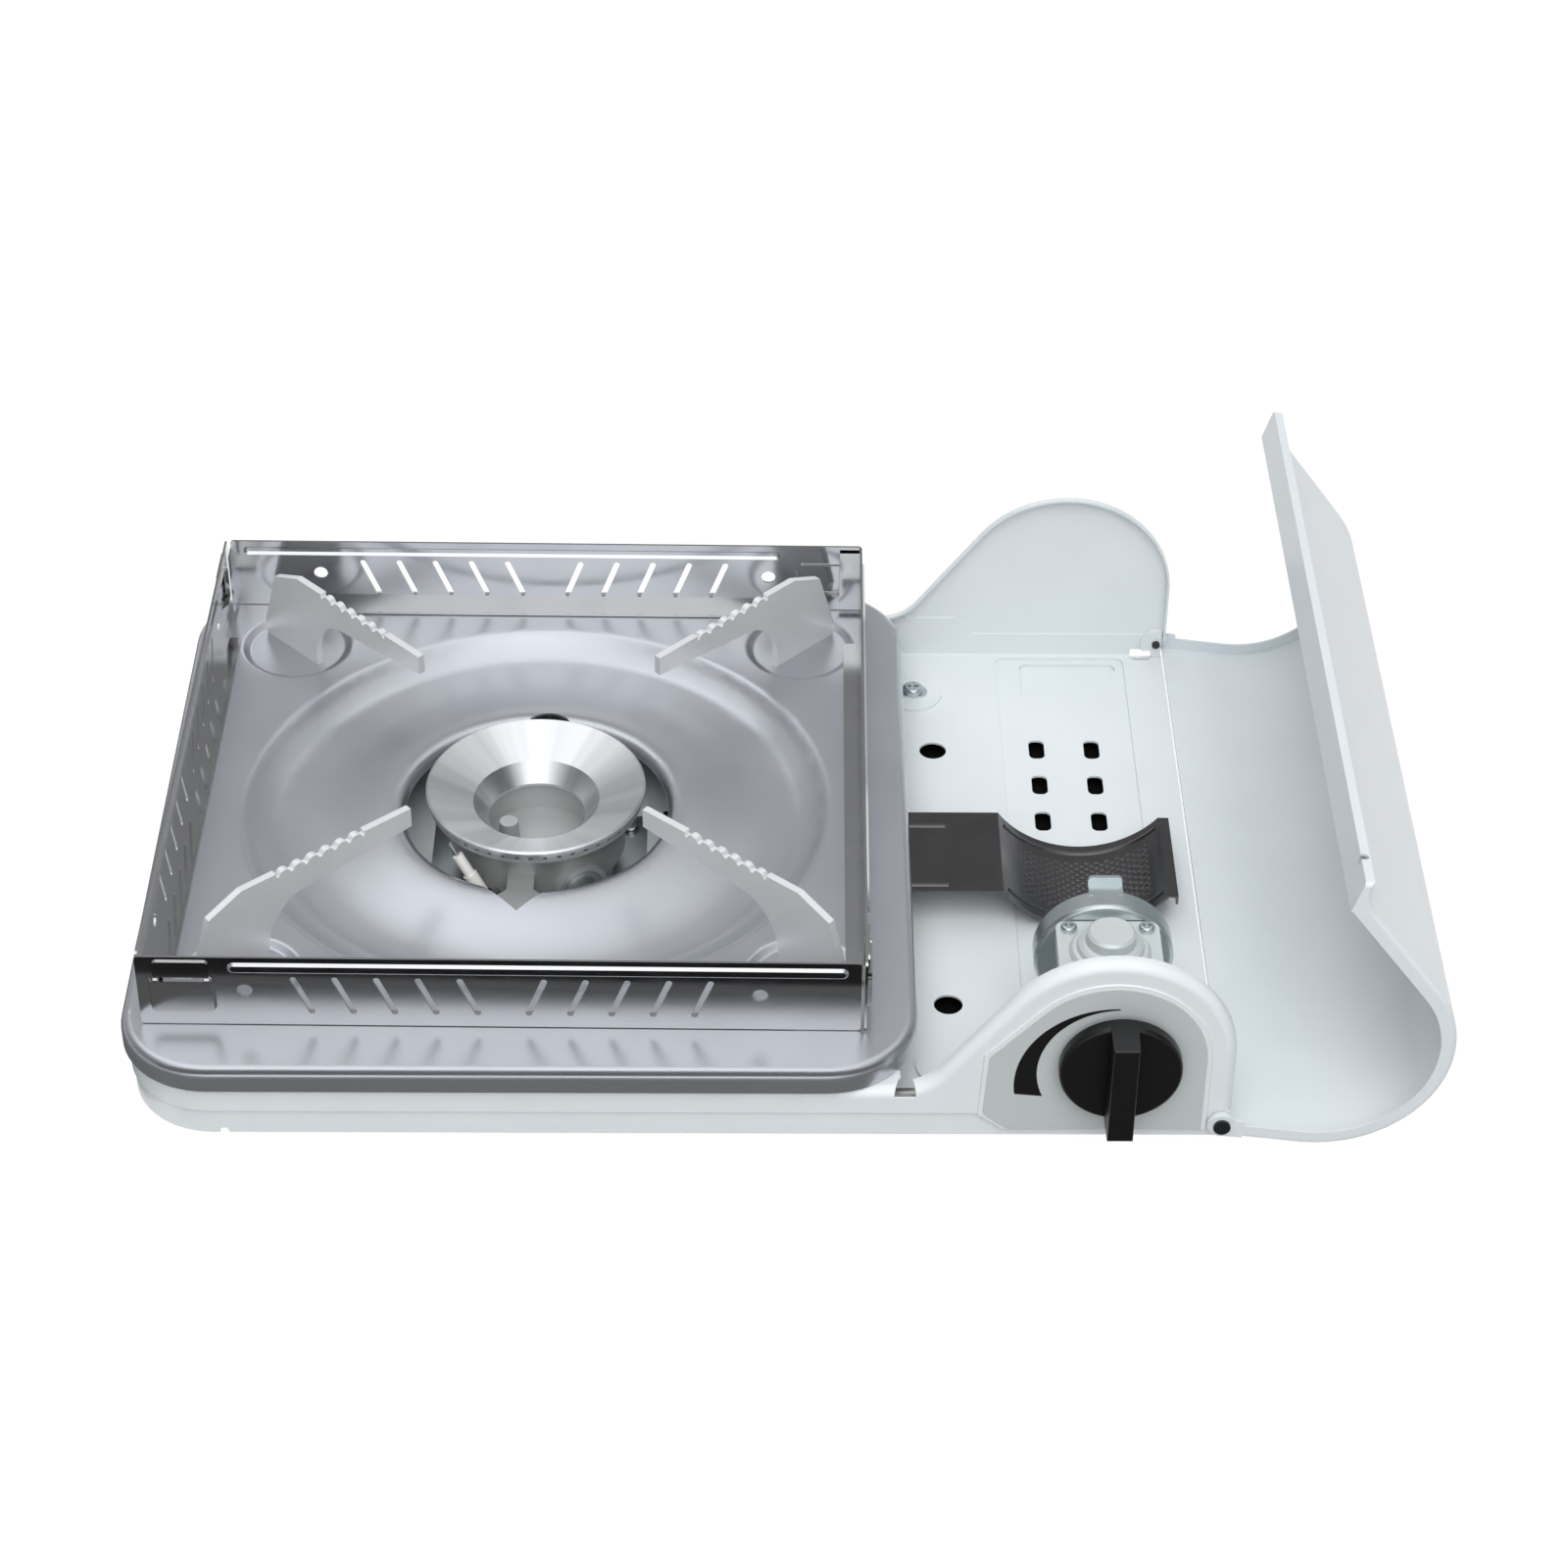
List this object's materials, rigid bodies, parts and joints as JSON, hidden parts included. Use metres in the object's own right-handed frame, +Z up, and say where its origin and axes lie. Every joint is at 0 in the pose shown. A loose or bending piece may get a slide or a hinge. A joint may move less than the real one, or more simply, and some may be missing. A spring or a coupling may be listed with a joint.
{
  "type": "portable cassette gas stove",
  "caption": "Single-burner table stove with a canister bay under a hinged cover, a drip tray, pan supports, a windshield and a control knob that also fires the igniter.",
  "frame": {"origin": "on the table, under the middle of the stove as it stands with its canister cover open", "axes": "+X to the right, from the burner to the canister bay; +Y to the back, away from the knob; +Z up"},
  "size_m": [0.4208, 0.2807, 0.1122],
  "materials": {
    "black_plastic": "satin",
    "black_rivet": "satin",
    "bright_stainless": "polished",
    "cast_aluminium": "cast",
    "cover_enamel": "gloss",
    "foot_rubber": "matte",
    "heat_steel": "polished",
    "lead_cover": "satin",
    "piezo_plastic": "gloss",
    "pipe_brass": "satin",
    "plate_print": "satin",
    "regulator_alloy": "cast",
    "ring_aluminium": "turned",
    "seal_rubber": "matte",
    "support_steel": "satin",
    "tray_enamel": "satin",
    "white_ceramic": "gloss",
    "white_enamel": "gloss",
    "white_plastic": "gloss",
    "zinc_steel": "satin"
  },
  "bodies": {
    "casing": {"casing": "white_enamel", "feet": "foot_rubber", "dial_plate": "plate_print", "hinge_rivets": "black_rivet", "flame_ring": "ring_aluminium", "burner_body": "cast_aluminium", "mixing_tube": "zinc_steel", "gas_nozzle": "pipe_brass", "burner_bracket": "zinc_steel", "bracket_screws": "zinc_steel", "heat_partition": "zinc_steel", "partition_screw": "zinc_steel", "heat_plate": "heat_steel", "heat_plate_rivets": "zinc_steel", "regulator_body": "regulator_alloy", "regulator_diaphragm": "seal_rubber", "regulator_cap": "regulator_alloy", "regulator_spring": "zinc_steel", "regulator_screws": "zinc_steel", "canister_seat": "zinc_steel", "seat_seal": "seal_rubber", "piezo_unit": "piezo_plastic", "gas_pipe": "pipe_brass", "electrode": "white_ceramic", "electrode_pin": "bright_stainless", "electrode_bracket": "zinc_steel", "ignition_lead": "lead_cover"},
    "cover": {"canister_cover": "cover_enamel", "cover_bumper": "white_plastic"},
    "control": {"knob": "black_plastic", "valve_spindle": "zinc_steel", "ignition_cam": "piezo_plastic"},
    "striker": {"igniter_striker": "piezo_plastic"},
    "tray": {"drip_tray": "tray_enamel", "pan_support_front_left": "support_steel", "pan_support_front_right": "support_steel", "pan_support_rear_left": "support_steel", "pan_support_rear_right": "support_steel"},
    "windshield": {"windshield_front": "bright_stainless", "windshield_right": "bright_stainless", "windshield_rear": "bright_stainless", "windshield_left": "bright_stainless"}
  },
  "joints": [
    {"name": "cover_hinge", "type": "hinge", "parent": "casing", "child": "cover", "pos_m": [0.1397, 0, 0.0127], "axis": [0, 1, 0], "range_deg": [-97.5, 0]},
    {"name": "knob_turn", "type": "hinge", "parent": "casing", "child": "control", "pos_m": [0.1059, -0.1224, 0.0392], "axis": [0, -1, 0], "range_deg": [0, 115]},
    {"name": "striker_push", "type": "slide", "parent": "casing", "child": "striker", "axis": [0, 0, -1], "range_m": [0, 0.004]},
    {"name": "tray_lift", "type": "slide", "parent": "casing", "child": "tray", "axis": [0, 0, 1], "range_m": [0, 0.06]},
    {"name": "windshield_lift", "type": "slide", "parent": "tray", "child": "windshield", "axis": [0, 0, 1], "range_m": [0, 0.04]}
  ],
  "couplings": [
    {"joint": "striker_push", "follows": "knob_turn", "m_per_rad": 0.0019929}
  ]
}
